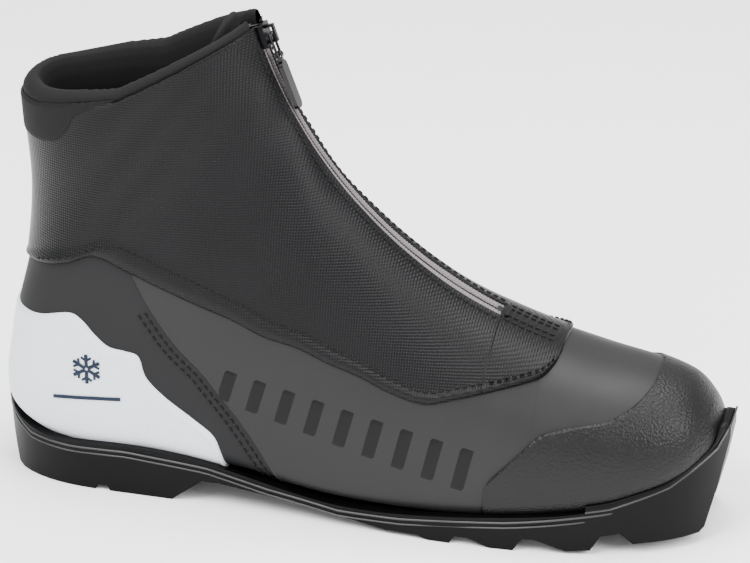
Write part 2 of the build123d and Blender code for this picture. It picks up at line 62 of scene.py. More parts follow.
TOE_RIDGE = [(147, 40.5), (145.5, 46.5), (141, 53.5), (132.5, 60.5), (117.5, 65), (96, 69), (67.5, 77.5)]
INSTEP_ANGLES = [240.5, 231, 222.5, 215, 209, 204.5, 201, 198, 195, 192, 188]
RIDGE = np.array(TOE_RIDGE + [on_arc(RIDGE_RADIUS, angle) for angle in INSTEP_ANGLES])
KEEL = np.array(
    [(147, 33), (145.5, 27), (141, 23), (133.5, 18.5), (119.5, 13), (97, 9), (66, 6.5)]
    + [(30, 6.3), (-8, 8.3), (-45, 12.5), (-82, 14), (-118, 13.5)]
    + [(-144.8, 28), (-145, 60), (-138.8, 92), (-136.2, 120), (-137.8, 150), (-139, 170)]
)
LATERAL = [3, 12.5, 21.5, 30, 37.5, 43, 45.5, 44.5, 41.5, 38, 35.5, 35, 35, 35, 35, 35.5, 36, 36.5]
MEDIAL = [3, 12.5, 21.5, 30, 38, 44.5, 46.5, 44, 40, 37, 35.5, 35, 35, 35, 35, 35.5, 36, 36.5]
FULLEST = [0.5, 0.5, 0.46, 0.42, 0.38, 0.35, 0.3, 0.28, 0.28, 0.3, 0.34, 0.4, 0.44, 0.48] + [0.5] * 4
KEEL_ROUNDNESS = [2, 2.2, 2.2, 2.2, 2.5, 3.5, 4.6, 6.5, 8.6, 7.6, 6.6, 5.3, 4, 3] + [2.2] * 4
RIDGE_ROUNDNESS = 2.1
COLLAR_LINE = [(-200, 163), (-126, 164.3), (-90, 171.4), (200, 322.2)]
TABLE_STEPS = 100  # entries of the surface table between two sections
KEEL_TURN = math.pi
EDGE_STEPS = 12  # places worked out between two given points of a line


def through(values, steps):
    """A smooth run through the values, this many steps from each to the next."""
    values = np.asarray(values, float)
    ends = np.concatenate([[2 * values[0] - values[1]], values, [2 * values[-1] - values[-2]]])
    share = np.arange(steps) / steps
    if values.ndim > 1:
        share = share[:, None]
    runs = []
    for a, b, c, d in zip(ends, ends[1:], ends[2:], ends[3:]):
        square, cube = share**2, share**3
        bend = (2 * a - 5 * b + 4 * c - d) * square
        runs.append(0.5 * (2 * b + (c - a) * share + bend + (3 * b - a - 3 * c + d) * cube))
    return np.concatenate(runs + [values[-1:]])


U = np.arange((len(KEEL) - 1) * TABLE_STEPS + 1) / TABLE_STEPS
KEEL_X, KEEL_Z = through(KEEL, TABLE_STEPS).T
RIDGE_X, RIDGE_Z = through(RIDGE, TABLE_STEPS).T
TABLE = {
    "kx": KEEL_X,
    "kz": KEEL_Z,
    "rx": RIDGE_X,
    "rz": RIDGE_Z,
    "full": through(FULLEST, TABLE_STEPS),
    "round": through(KEEL_ROUNDNESS, TABLE_STEPS),
    -1: through(LATERAL, TABLE_STEPS),
    1: through(MEDIAL, TABLE_STEPS),
}


def at(key, u):
    return np.interp(u, U, TABLE[key])


def point(u, turn, side, lift=0.0):
    """Point (x, y, z): turn is 0 on the ridge and pi on the keel, lift is millimetres off the surface."""
    kx, kz, rx, rz = (at(key, u) for key in ("kx", "kz", "rx", "rz"))
    rise = np.hypot(rx - kx, rz - kz)
    middle = at("full", u) * rise
    along = np.cos(turn)
    upper = along >= 0
    reach = np.where(upper, rise - middle, middle) + lift
    power = np.where(upper, RIDGE_ROUNDNESS, at("round", u))
    size = np.abs(along)
    across = (at(side, u) + lift) * np.clip(1 - size**power, 0, 1) ** (1 / power)
    share = (middle + np.sign(along) * size * reach) / rise
    return np.array([kx + share * (rx - kx), side * across, kz + share * (rz - kz)])


def one_point(u, turn, side, lift):
    return tuple(point(np.array([u]), np.array([turn]), side, np.array([lift])).T[0])


def turn_at(u, share):
    """The turn where a section is this share of its height above the keel."""
    full = at("full", u)
    along = np.where(share >= full, (share - full) / (1 - full), (share - full) / full)
    return np.arccos(np.clip(along, -1, 1))


def turn_beside(u, side, distance):
    """The turn on the ridge's side where the surface is this far from the middle plane."""
    ratio = np.clip(distance / at(side, u), 0, 1)
    return np.arccos((1 - ratio**RIDGE_ROUNDNESS) ** (1 / RIDGE_ROUNDNESS))


def locate(x, z):
    """(u, turn) of the surface point with this side view."""
    dx, dz = RIDGE_X - KEEL_X, RIDGE_Z - KEEL_Z
    cross = (x - KEEL_X) * dz - (z - KEEL_Z) * dx
    share = ((x - KEEL_X) * dx + (z - KEEL_Z) * dz) / (dx**2 + dz**2)
    crossing = np.nonzero((cross[:-1] * cross[1:] <= 0) & (share[:-1] > -0.4) & (share[:-1] < 1.4))[0]
    if len(crossing) == 0:
        best = int(np.argmin(np.abs(cross) / np.hypot(dx, dz)))
        return U[best], float(turn_at(U[best], share[best]))
    i = crossing[0]
    mix = cross[i] / (cross[i] - cross[i + 1]) if cross[i] != cross[i + 1] else 0.0
    u = U[i] + mix / TABLE_STEPS
    return u, float(turn_at(u, share[i] + mix * (share[i + 1] - share[i])))


class Edge:
    """A line drawn on the side of the boot, as the turn it has at each u."""

    def __init__(self, points):
        places = sorted(locate(x, z) for x, z in through(points, EDGE_STEPS))
        self.u = np.array([u for u, turn in places])
        self.turn = np.array([turn for u, turn in places])

    def __call__(self, u):
        return np.interp(u, self.u, self.turn)


# ---- Meshes ----
METRES = 0.001  # metres in a millimetre
WELD_DISTANCE = 2e-6


def add_mesh(name, vertices, faces, material, body, smooth=True):
    mesh = bpy.data.meshes.new(name)
    mesh.from_pydata([tuple(METRES * float(c) for c in v) for v in vertices], [], faces)
    mesh.materials.append(material)
    mesh.validate()
    shell = bmesh.new()
    shell.from_mesh(mesh)
    bmesh.ops.remove_doubles(shell, verts=shell.verts, dist=WELD_DISTANCE)
    bmesh.ops.recalc_face_normals(shell, faces=shell.faces)
    shell.to_mesh(mesh)
    shell.free()
    mesh.polygons.foreach_set("use_smooth", [smooth] * len(mesh.polygons))
    mesh.update()
    piece = bpy.data.objects.new(name, mesh)
    bpy.context.scene.collection.objects.link(piece)
    if body:
        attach(piece, body)
    return piece


def grid_faces(rows, columns, start=0, flip=False, closed=False):
    faces = []
    for i in range(rows - 1):
        for j in range(columns if closed else columns - 1):
            k = (j + 1) % columns
            a, b = start + i * columns + j, start + i * columns + k
            c, d = start + (i + 1) * columns + k, start + (i + 1) * columns + j
            faces.append((a, d, c, b) if flip else (a, b, c, d))
    return faces


class Build:
    """Collects grids into one piece."""

    def __init__(self):
        self.vertices = []
        self.faces = []

    def grid(self, points, flip=False, closed=False):
        """points[row][column] are (x, y, z)."""
        rows, columns = len(points), len(points[0])
        start = len(self.vertices)
        for row in points:
            self.vertices.extend(row)
        self.faces += grid_faces(rows, columns, start, flip, closed)

    def tube(self, path, radius, around=8):
        """Round bead along a path."""
        path = np.asarray(path, float)
        ahead = np.gradient(path, axis=0)
        ahead /= np.linalg.norm(ahead, axis=1)[:, None]
        rings = []
        guide = np.array([0.0, 0.0, 1.0])
        for centre, run in zip(path, ahead):
            side = np.cross(run, guide)
            if np.linalg.norm(side) < 0.15:
                side = np.cross(run, [0.0, 1.0, 0.0])
            side /= np.linalg.norm(side)
            up = np.cross(side, run)
            rings.append(
                [
                    tuple(centre + radius * (math.cos(a) * side + math.sin(a) * up))
                    for a in np.arange(around) * 2 * math.pi / around
                ]
            )
        self.grid(rings, closed=True)

    def block(self, centre, axes, sizes, chamfer):
        """Small box with cut corners: axes are three unit vectors and sizes the full lengths."""
        start = len(self.vertices)
        centre = np.asarray(centre, float)
        half = [s / 2 for s in sizes]
        for share, cut in ((-1, chamfer), (-1 + chamfer, 0), (1 - chamfer, 0), (1, chamfer)):
            for a, b in ((-1, -1), (1, -1), (1, 1), (-1, 1)):
                self.vertices.append(
                    tuple(
                        centre
                        + np.asarray(axes[0]) * half[0] * a * (1 - cut)
                        + np.asarray(axes[1]) * half[1] * b * (1 - cut)
                        + np.asarray(axes[2]) * half[2] * share
                    )
                )
        self.faces += grid_faces(4, 4, start, closed=True)
        self.faces.append((start + 3, start + 2, start + 1, start))
        self.faces.append((start + 12, start + 13, start + 14, start + 15))

    def finish(self, name, material, body="boot", smooth=True):
        return add_mesh(name, self.vertices, self.faces, material, body, smooth)


def panel_points(columns, rows, upper, lower, side, lift, shape=None, skirt=1.6):
    """Grid of a panel between two turns at each u, with a turned-down rim all round."""
    grid = []
    for i, u in enumerate(columns):
        turns = np.linspace(upper(u), lower(u), rows)
        height = np.full(rows, float(lift))
        if shape is not None:
            height = height + shape(u, turns, i / (len(columns) - 1))
        row = point(np.full(rows, u), turns, side, height).T
        at_ridge, at_keel = turns[0] < 0.001, turns[-1] > KEEL_TURN - 0.001
        first = point(np.array([u]), turns[:1], side, height[:1] - (0 if at_ridge else skirt)).T
        last = point(np.array([u]), turns[-1:], side, height[-1:] - (0 if at_keel else skirt)).T
        grid.append(np.vstack([first, row, last]))
    grid = np.array(grid)
    ends = []
    for u in (columns[0], columns[-1]):
        turns = np.linspace(upper(u), lower(u), rows)
        row = point(np.full(rows, u), turns, side, np.full(rows, lift - skirt)).T
        ends.append(np.vstack([row[:1], row, row[-1:]]))
    return [list(map(tuple, ends[0]))] + [list(map(tuple, row)) for row in grid] + [list(map(tuple, ends[1]))]


def add_panel(build, columns, rows, upper, lower, side, lift, shape=None, skirt=1.6):
    build.grid(panel_points(columns, rows, upper, lower, side, lift, shape, skirt), flip=side > 0)


def surface_path(places, side, lift):
    """Points over a run of (u, turn) places."""
    us = np.array([p[0] for p in places])
    turns = np.array([p[1] for p in places])
    return point(us, turns, side, np.full(len(us), float(lift))).T


def walk(path, pitch):
    """(position, direction) at even distances along a path."""
    path = np.asarray(path, float)
    steps = np.linalg.norm(np.diff(path, axis=0), axis=1)
    far = np.concatenate([[0], np.cumsum(steps)])
    for distance in np.arange(pitch / 2, far[-1], pitch):
        here = np.array([np.interp(distance, far, path[:, k]) for k in range(3)])
        ahead = np.array([np.interp(min(distance + 0.4, far[-1]), far, path[:, k]) for k in range(3)])
        back = np.array([np.interp(max(distance - 0.4, 0), far, path[:, k]) for k in range(3)])
        run = ahead - back
        yield here, run / np.linalg.norm(run)


def stitches(build, path, pitch=3.1, length=2.1, thread=0.42):
    """Short thread stitches, rounded at both ends and sunk a little into the cloth."""
    for here, run in walk(path, pitch):
        ends = [here + run * length * share for share in (-0.5, -0.38, 0, 0.38, 0.5)]
        start = len(build.vertices)
        side = np.cross(run, [0.31, 0.2, 0.93])
        side /= np.linalg.norm(side)
        up = np.cross(side, run)
        for centre, share in zip(ends, (0.35, 0.85, 1, 0.85, 0.35)):
            for a in np.arange(6) * math.pi / 3:
                spoke = math.cos(a) * side + math.sin(a) * up
                build.vertices.append(tuple(centre + thread * share * spoke))
        build.faces += grid_faces(5, 6, start, closed=True)
        build.faces.append(tuple(start + k for k in range(5, -1, -1)))
        build.faces.append(tuple(start + 24 + k for k in range(6)))


# ---- Materials ----
def srgb(code):
    parts = [int(code[i : i + 2], 16) / 255 for i in (1, 3, 5)]
    return [c / 12.92 if c <= 0.04045 else ((c + 0.055) / 1.055) ** 2.4 for c in parts] + [1.0]


def new_material(name):
    material = bpy.data.materials.new(name)
    material.use_nodes = True
    nodes = material.node_tree.nodes
    nodes.clear()
    output = nodes.new("ShaderNodeOutputMaterial")
    shader = nodes.new("ShaderNodeBsdfPrincipled")
    material.node_tree.links.new(shader.outputs["BSDF"], output.inputs["Surface"])
    return material, nodes, material.node_tree.links, shader


def add_bump(nodes, links, shader, height, strength, distance, below=None):
    bump = nodes.new("ShaderNodeBump")
    bump.inputs["Strength"].default_value = strength
    bump.inputs["Distance"].default_value = distance
    links.new(height, bump.inputs["Height"])
    if below is not None:
        links.new(below.outputs["Normal"], bump.inputs["Normal"])
    links.new(bump.outputs["Normal"], shader.inputs["Normal"])
    return bump


ROUGH_SPREAD = 0.08  # how far the roughness wanders from its middle value


def surface(name, dark, light, rough, grain=900.0, grain_bump=0.25, weave=0.0, weave_bump=0.3,
            coat=0.0, metal=0.0, pebbles=0.0, patch=60.0, specular=0.5):
    """Procedural finish: two tones mixed by soft noise, with grain, an optional weave and pebbles."""
    material, nodes, links, shader = new_material(name)
    place = nodes.new("ShaderNodeTexCoord")
    soft = nodes.new("ShaderNodeTexNoise")
    soft.inputs["Scale"].default_value = patch
    soft.inputs["Detail"].default_value = 5.0
    links.new(place.outputs["Object"], soft.inputs["Vector"])
    fine = nodes.new("ShaderNodeTexNoise")
    fine.inputs["Scale"].default_value = grain
    fine.inputs["Detail"].default_value = 3.0
    links.new(place.outputs["Object"], fine.inputs["Vector"])
    tone = nodes.new("ShaderNodeMix")
    tone.data_type = "RGBA"
    tone.inputs["A"].default_value = srgb(dark)
    tone.inputs["B"].default_value = srgb(light)
    colour = soft.outputs["Fac"]
    height = fine.outputs["Fac"]
    if weave:
        bands = []
        for direction in ("X", "Z"):
            band = nodes.new("ShaderNodeTexWave")
            band.wave_type = "BANDS"
            band.bands_direction = direction
            band.inputs["Scale"].default_value = weave
            band.inputs["Distortion"].default_value = 0.6
            links.new(place.outputs["Object"], band.inputs["Vector"])
            bands.append(band)
        cross = nodes.new("ShaderNodeMath")
        cross.operation = "MULTIPLY"
        links.new(bands[0].outputs["Fac"], cross.inputs[0])
        links.new(bands[1].outputs["Fac"], cross.inputs[1])
        mixed = nodes.new("ShaderNodeMath")
        mixed.operation = "MULTIPLY_ADD"
        mixed.inputs[1].default_value = 0.75
        links.new(cross.outputs["Value"], mixed.inputs[0])
        quarter = nodes.new("ShaderNodeMath")
        quarter.operation = "MULTIPLY"
        quarter.inputs[1].default_value = 0.4
        links.new(soft.outputs["Fac"], quarter.inputs[0])
        links.new(quarter.outputs["Value"], mixed.inputs[2])
        colour = mixed.outputs["Value"]
    links.new(colour, tone.inputs["Factor"])
    links.new(tone.outputs["Result"], shader.inputs["Base Color"])
    bump = add_bump(nodes, links, shader, height, grain_bump, 0.0002)
    if weave:
        bump = add_bump(nodes, links, shader, cross.outputs["Value"], weave_bump, 0.0003, bump)
    if pebbles:
        cells = nodes.new("ShaderNodeTexVoronoi")
        cells.inputs["Scale"].default_value = pebbles
        links.new(place.outputs["Object"], cells.inputs["Vector"])
        add_bump(nodes, links, shader, cells.outputs["Distance"], 0.55, 0.0004, bump)
    ramp = nodes.new("ShaderNodeMapRange")
    ramp.inputs["To Min"].default_value = rough - ROUGH_SPREAD
    ramp.inputs["To Max"].default_value = rough + ROUGH_SPREAD
    links.new(soft.outputs["Fac"], ramp.inputs["Value"])
    links.new(ramp.outputs["Result"], shader.inputs["Roughness"])
    shader.inputs["Metallic"].default_value = metal
    shader.inputs["Specular IOR Level"].default_value = specular
    shader.inputs["Coat Weight"].default_value = coat
    shader.inputs["Coat Roughness"].default_value = 0.25
    return material


COVER = surface("cover_cloth", "#020203", "#101012", 0.38, weave=300, weave_bump=0.5, patch=40, specular=0.15)
VAMP = surface("upper_synthetic", "#1a1a1b", "#1f1f20", 0.46, grain=1600, grain_bump=0.15, specular=0.2)
QUARTER = surface("quarter_synthetic", "#1a1a1b", "#1f1f20", 0.6, grain=1600, grain_bump=0.15, specular=0.12)
TOE = surface("toe_rubber", "#030304", "#070708", 0.42, pebbles=950, grain_bump=0.4, specular=0.24)
COUNTER = surface("counter_shell", "#c4c8ce", "#dfe3e7", 0.38, weave=330, weave_bump=0.35, coat=0.1, patch=25)
COLLAR = surface("collar_cloth", "#050506", "#0e0e0f", 0.8, grain=1900, grain_bump=0.6, specular=0.2)
LINING = surface("lining_cloth", "#050506", "#0f0f10", 0.85, weave=220, weave_bump=0.6, specular=0.15)
SOLE = surface("sole_rubber", "#020202", "#050506", 0.4, grain=700, grain_bump=0.12, patch=30, specular=0.1)
# Painted highlight: the beads' lighter tone stands in for light caught along the sole's rim; the bead ridges
# themselves are geometry
BEAD_HIGHLIGHT = surface("sole_bead_painted_highlight", "#161617", "#202021", 0.3, grain=700, grain_bump=0.1, specular=0.5)
TAPE = surface("zip_tape", "#5d585a", "#7d7778", 0.75, weave=420, weave_bump=0.7, specular=0.2)
COIL = surface("zip_coil", "#050505", "#0b0b0c", 0.35, grain=1500, specular=0.4)
THREAD = surface("thread", "#030303", "#080809", 0.6, grain=4000, grain_bump=0.6, specular=0.2)
GLOSS = surface("gloss_black", "#020202", "#040404", 0.25, grain_bump=0.04, specular=0.3)
GUNMETAL = surface("gunmetal", "#101012", "#1c1c1e", 0.3, metal=1.0, grain_bump=0.08)
STEEL = surface("steel", "#8a8a8d", "#b4b4b6", 0.25, metal=1.0, grain_bump=0.08)
MARK = surface("mark_blue", "#0d1929", "#121f33", 0.5, grain_bump=0.1, specular=0.2)
TONAL = surface("tonal_mark", "#030303", "#060607", 0.4, grain=1600, grain_bump=0.1, specular=0.16)
BOARD = surface("board", "#8d7a5c", "#a08c6c", 0.8)
STIFF = surface("stiffener", "#b5b0a4", "#cac5b8", 0.6)
INSOLE = surface("insole_cloth", "#0b0b0d", "#19191c", 0.85, weave=200, weave_bump=0.6)

for node, material in {
    "binding_bar": STEEL, "toe_insert": SOLE, "shank": BOARD, "outsole": SOLE, "lasting_board": BOARD,
    "insole": INSOLE, "heel_stiffener": STIFF, "toe_puff": STIFF, "eyestay_lateral": QUARTER,
    "eyestay_medial": QUARTER, "lace_loops_lateral": THREAD, "lace_loops_medial": THREAD,
    "zip_bottom_stop": COIL, "zip_slider": GUNMETAL, "pull_link": GLOSS, "pull_tab": GLOSS,
}.items():
    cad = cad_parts[node]
    for k in range(len(cad.material_slots)):
        cad.material_slots[k].material = material

SIDES = ((-1, "lateral"), (1, "medial"))

# ---- Lines on the side of the boot ----
COVER_SEAM = Edge(
    [(-148, 90), (-133, 93.5), (-114, 97.5), (-101, 102), (-88, 97), (-74, 91), (-58, 84.8), (-45, 80.5)]
    + [(-32, 75.2), (-18.6, 72.4), (-5, 67.5), (7, 64), (20, 59), (34, 56), (46.5, 58.8), (61, 62.4)]
    + [(72, 64.9), (78, 66.6), (81.5, 69.5), (82.6, 71.8)]
)
TOE_LINE = Edge(
    [(120.6, 64.6), (119.8, 62.4), (114.9, 58.2), (109, 54.9), (103, 52.9), (91, 51), (82.3, 48.7)]
    + [(77.7, 45.6), (70, 37.4), (61.6, 28.3), (58.9, 22), (58, 14), (57.8, 6.8)]
)
COUNTER_LINE = Edge(
    [(-150, 72.2), (-137, 72.6), (-127, 73), (-113.7, 76), (-108, 73.6), (-102.7, 67.7), (-97, 63)]
    + [(-90, 61.8), (-84.5, 60), (-81.5, 51), (-73.6, 43), (-62.5, 35.4), (-54, 29), (-51, 22), (-49, 12.5)]
)
DIAGONAL = [(-86, 95), (-79, 81), (-68.5, 66), (-57.5, 55.5), (-53, 50), (-42, 37), (-33, 24), (-26, 12)]
DIAGONAL += [(-20, 9.3)]
DIAGONAL_LINE = Edge(DIAGONAL)


def keel(u):
    return KEEL_TURN


def ridge(u):
    return 0.0


def span(start, end, step=0.02):
    return np.linspace(start, end, max(3, int(round((end - start) / step)) + 1))


def edge_roll(amount, width):
    """The panel swells a little inside its edge and turns down at it, like a folded and stitched hem."""

    def shape(u, turns, share):
        near = np.arange(len(turns))[::-1]
        if turns[0] > 0.001:
            near = np.minimum(near, near[::-1])
        if turns[-1] > KEEL_TURN - 0.001:
            near = np.arange(len(turns)) if turns[0] > 0.001 else np.full(len(turns), 99)
        return amount * np.exp(-((near - width) ** 2) / (0.5 * width**2)) - 0.5 * np.exp(-((near / 1.2) ** 2))

    return shape


# ---- Toe cap, vamp, quarters and heel counter ----
TOE_LIFT = 0.0
VAMP_LIFT = -1.0
QUARTER_LIFT = -1.6
COUNTER_LIFT = -0.35
MIDFOOT_U = 11.75  # the vamp ends and the collar's part of the quarter starts here

toe_cap = Build()
for side, name in SIDES:
    def toe_upper(u):
        return 0.0 if u < TOE_LINE.u[0] else float(TOE_LINE(u))

    add_panel(toe_cap, span(0.0, float(TOE_LINE.u[-1]), 0.025), 60, toe_upper, keel, side, TOE_LIFT)
tip = point(np.zeros(24), np.linspace(0, math.pi, 24), -1).T
tip_other = point(np.zeros(24), np.linspace(math.pi, 0, 24), 1).T
ring = np.vstack([tip, tip_other])
tip_centre = np.array([148.2, 0.0, 36.8])
tip_rings = [ring + (tip_centre - ring) * share for share in (0.0, 0.4, 0.8, 0.98)]
toe_cap.grid([list(map(tuple, points)) for points in tip_rings], closed=True)
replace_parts(toe_cap.finish("toe_cap_skin", TOE), "toe_cap")

vamp = Build()
for side, name in SIDES:
    def vamp_upper(u):
        return 0.0 if u < COVER_SEAM.u[0] + 0.2 else max(0.0, float(COVER_SEAM(u - 0.2)) - 0.15)

    def vamp_lower(u):
        return KEEL_TURN if u < DIAGONAL_LINE.u[0] else float(DIAGONAL_LINE(u))

    columns = span(1.2, MIDFOOT_U, 0.04)
    add_panel(vamp, columns, 90, vamp_upper, vamp_lower, side, VAMP_LIFT, edge_roll(0.25, 3))
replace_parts(vamp.finish("vamp_skin", VAMP), "vamp")

for side, name in SIDES:
    quarter = Build()

    def quarter_upper(u):
        seam = float(COVER_SEAM(u)) - 0.14
        return max(0.02, seam) if u > MIDFOOT_U else max(0.02, seam, float(DIAGONAL_LINE(u)) - 0.12)

    add_panel(quarter, span(8.2, 14.3, 0.03), 90, quarter_upper, keel, side, QUARTER_LIFT)
    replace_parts(quarter.finish(f"quarter_{name}_skin", QUARTER), f"quarter_{name}")

counter = Build()
for side, name in SIDES:
    columns = span(float(COUNTER_LINE.u[0]), float(COUNTER_LINE.u[-1]), 0.02)
    add_panel(counter, columns, 60, COUNTER_LINE, keel, side, COUNTER_LIFT, edge_roll(0.35, 2), skirt=1.3)
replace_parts(counter.finish("heel_counter_shell", COUNTER), "heel_counter")

# ---- Collar: rim of the upper, at each turn ----
COLLAR_X, COLLAR_Z = (np.array(values) for values in zip(*COLLAR_LINE))


def rim_u(turn, side):
    us = np.arange(11.5, 17.0, 0.02)
    places = point(us, np.full(len(us), turn), side)
    over = places[2] - np.interp(places[0], COLLAR_X, COLLAR_Z)
    crossing = np.nonzero((over[:-1] <= 0) & (over[1:] > 0))[0]
    return float(us[crossing[-1]]) if len(crossing) else float(us[-1])


def down_from_rim(turn, side, drops):
    """The u of points this many millimetres below the rim along the leg, at one turn."""
    top = rim_u(turn, side)
    us = np.linspace(17.0, 3.0, 900)
    places = point(us, np.full(len(us), turn), side).T
    far = np.concatenate([[0], np.cumsum(np.linalg.norm(np.diff(places, axis=0), axis=1))])
    return np.interp(np.interp(top, us[::-1], far[::-1]) + np.array(drops, float), far, us)


# ---- Cover: one sheet on each side; a hinge axis for the flap is worked out but not applied ----
ZIP_FOOT_ANGLE = 246.6
zip_foot = on_arc(ZIP_RADIUS, ZIP_FOOT_ANGLE)
FOOT_U = 6.36
WINDOW_U = [FOOT_U, 7.2, 8.5, 10.5, 13.2, 13.6]
WINDOW_HALF = [5.3, 5.0, 3.9, 3.2, 3.2, 4.3]
COVER_LIFT = 0.15


def zip_edge(side):
    def upper(u):
        half = np.interp(u, WINDOW_U, WINDOW_HALF)
        return float(turn_beside(u, side, half))

    return upper


def hem_roll(far):
    """Rolled hem; far counts the rows from the cloth's lower edge."""
    return 1.1 * np.exp(-(((far - 4) / 3.2) ** 2)) - 0.6 * np.exp(-((far / 1.0) ** 2))


def folds(u, turns, share):
    """Soft creases of the cloth over the ankle, and the rolled hem along the cover's lower seam."""
    far = np.arange(len(turns))[::-1]
    near = np.arange(len(turns))
    lip = 0.35 * np.exp(-(((near - 2) / 1.8) ** 2)) - 0.3 * np.exp(-((near / 0.9) ** 2))
    ankle = np.exp(-(((u - 10.6) / 1.6) ** 2))
    crease = 0.55 * ankle * np.sin(3.1 * u + 5.2 * turns) + 0.35 * np.sin(1.7 * u - 3.4 * turns + 1.0)
    crease += 0.28 * np.sin(5.3 * u + 2.1 * turns + 0.4) * np.exp(-(((turns - 1.5) / 0.6) ** 2))
    inside = np.clip(np.minimum(near, far) / 9.0, 0, 1) * np.clip((u - FOOT_U) / 0.8, 0, 1)
    return hem_roll(far) + lip + crease * inside


RIM_DROP = 3.0
rim_turns = np.linspace(0.05, KEEL_TURN, 120)
for side, name in SIDES:
    rim_table = np.array([down_from_rim(turn, side, [RIM_DROP])[0] for turn in rim_turns])
    order = np.argsort(rim_table)

    def cover_upper(u, side=side, rim_table=rim_table, order=order):
        window = zip_edge(side)(u)
        low_rim = rim_table.min()
        if u <= low_rim:
            return window
        return max(window, float(np.interp(u, rim_table[order], rim_turns[order])))

    def cover_lower(u):
        return float(COVER_SEAM(u)) if u < COVER_SEAM.u[-1] else KEEL_TURN

    cover = Build()
    last = float(rim_table.max()) - 0.02
    columns = np.concatenate([span(FOOT_U, 13.5, 0.03), span(13.51, last, 0.02)])
    add_panel(cover, columns, 110, cover_upper, cover_lower, side, COVER_LIFT, folds, skirt=1.2)
    piece = add_mesh(f"cover_{name}_cloth", cover.vertices, cover.faces, COVER, None)
    hinge_top = np.array([-75.0, side * 37.5, 179.5])
    hinge_foot = np.array([zip_foot[0], 0.0, zip_foot[1]])
    hinge = (hinge_top - hinge_foot) / np.linalg.norm(hinge_top - hinge_foot)
    outward = np.array([0.57, side * 0.67, 0.48])
    inward = np.cross(outward, hinge) * side
    inward /= np.linalg.norm(inward)
    centre = (hinge_top + hinge_foot) / 2
    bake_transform(piece)
    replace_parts(piece, f"cover_{name}", f"flap_{name}")

apron = Build()
APRON_START = float(COVER_SEAM.u[0])
APRON_LIFT = 0.13


def apron_shape(u, turns, share):
    return hem_roll(np.arange(len(turns))[::-1]) * np.clip((u - APRON_START) / 0.1, 0.2, 1)


for side, name in SIDES:
    columns = span(APRON_START, FOOT_U + 0.03, 0.015)
    add_panel(apron, columns, 110, ridge, COVER_SEAM, side, APRON_LIFT, apron_shape, skirt=0.9)
apron_piece = apron.finish("cover_apron", COVER)

# ---- Collar roll, lining and tongue: drops below the rim with the depth under the surface at each ----
PROFILE = [(9, 1.6), (5, 1.3), (3, 0.8), (1.6, 0.5), (0.2, 1.0), (-0.8, 2.4), (-1.2, 4.4), (-0.6, 6.4)]
PROFILE += [(1, 7.9), (4, 9.0), (9, 9.8), (15, 9.7), (21, 8.8), (26, 7.2), (30, 6.6), (45, 6.6), (70, 6.6)]
PROFILE += [(100, 6.6)]
drops = np.array([p[0] for p in PROFILE], float)
depths = np.array([p[1] for p in PROFILE], float)
fine = np.linspace(0, len(PROFILE) - 1, 70)
drops = np.interp(fine, range(len(PROFILE)), drops)
depths = np.interp(fine, range(len(PROFILE)), depths)
collar = Build()
rows = []
around = [(-1, t) for t in np.linspace(0.2, KEEL_TURN, 116)]
around += [(1, t) for t in np.linspace(KEEL_TURN, 0.2, 116)[1:]]
for side, turn in around:
    us = down_from_rim(turn, side, drops)
    thin = min(1.0, 0.3 + 0.7 * max(0.0, turn - 0.2) / 0.4)
    rows.append(list(map(tuple, point(us, np.full(len(us), turn), side, -depths * thin).T)))
collar.grid(rows, flip=True)
collar_piece = collar.finish("collar_and_lining", COLLAR)
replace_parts(collar_piece, "collar_pad", "collar_binding", "lining")

front_lining = Build()
for side, name in SIDES:
    def lining_upper(u, side=side):
        return float(turn_beside(u, side, 20.0)) if u > 6.6 else 0.0

    add_panel(front_lining, span(1.4, 11.8, 0.06), 50, lining_upper, keel, side, -5.2)
front_lining.finish("front_lining", LINING)

tongue = Build()
TONGUE_TOP = rim_u(0.1, -1) + 0.75
tongue_us = np.linspace(6.7, TONGUE_TOP, 110)
spread = np.linspace(-1, 1, 41)
for lift, flip in ((-9.6, False), (-13.4, True)):
    rows = []
    for u in tongue_us:
        to_top = (TONGUE_TOP - u) / 0.7
        half = 21.0 * (1 if to_top > 1 else math.sqrt(max(0.02, 1 - (1 - to_top) ** 2)))
        row = []
        for share in spread:
            side = -1 if share < 0 else 1
            rounding = 1.9 * max(abs(share) ** 6, (1 - min(1.0, 3 * to_top)) ** 2)
            height = lift - rounding if not flip else lift + rounding
            turn = float(turn_beside(u, side, abs(share) * half))
            row.append(one_point(u, turn, side, height))
        rows.append(row)
    tongue.grid(rows, flip=not flip)
tongue_piece = tongue.finish("tongue_pad", COLLAR)
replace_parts(tongue_piece, "tongue")

# ---- Rear patch of smooth neoprene over the back of the collar ----
PATCH_LOWER = [(-139, 144.6), (-133, 145.2), (-125.6, 145.3), (-119.8, 146.2), (-115.7, 147.6)]
PATCH_LOWER += [(-112.5, 150.7), (-109.8, 154.5), (-107.6, 159.4), (-104.2, 161.8), (-97.5, 165.2), (-90, 168.6)]
patch = Build()
for side, name in SIDES:
    rows = []
    for x, z in through(PATCH_LOWER, 6):
        u, turn = locate(x, z)
        u_rim = float(down_from_rim(turn, side, [2.0])[0])
        us = np.linspace(min(u, u_rim - 0.001), u_rim, 16)
        lifts = np.full(16, 0.75)
        lifts[0] = -0.4
        lifts[1] = 0.45
        lifts[-1] = -0.3
        lifts -= 0.9 * max(0.0, (x + 104) / 14)
        rows.append(list(map(tuple, point(us, np.full(16, turn), side, lifts).T)))
    patch.grid(rows, flip=side > 0)
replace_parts(patch.finish("rear_patch_skin", COLLAR), "rear_patch")

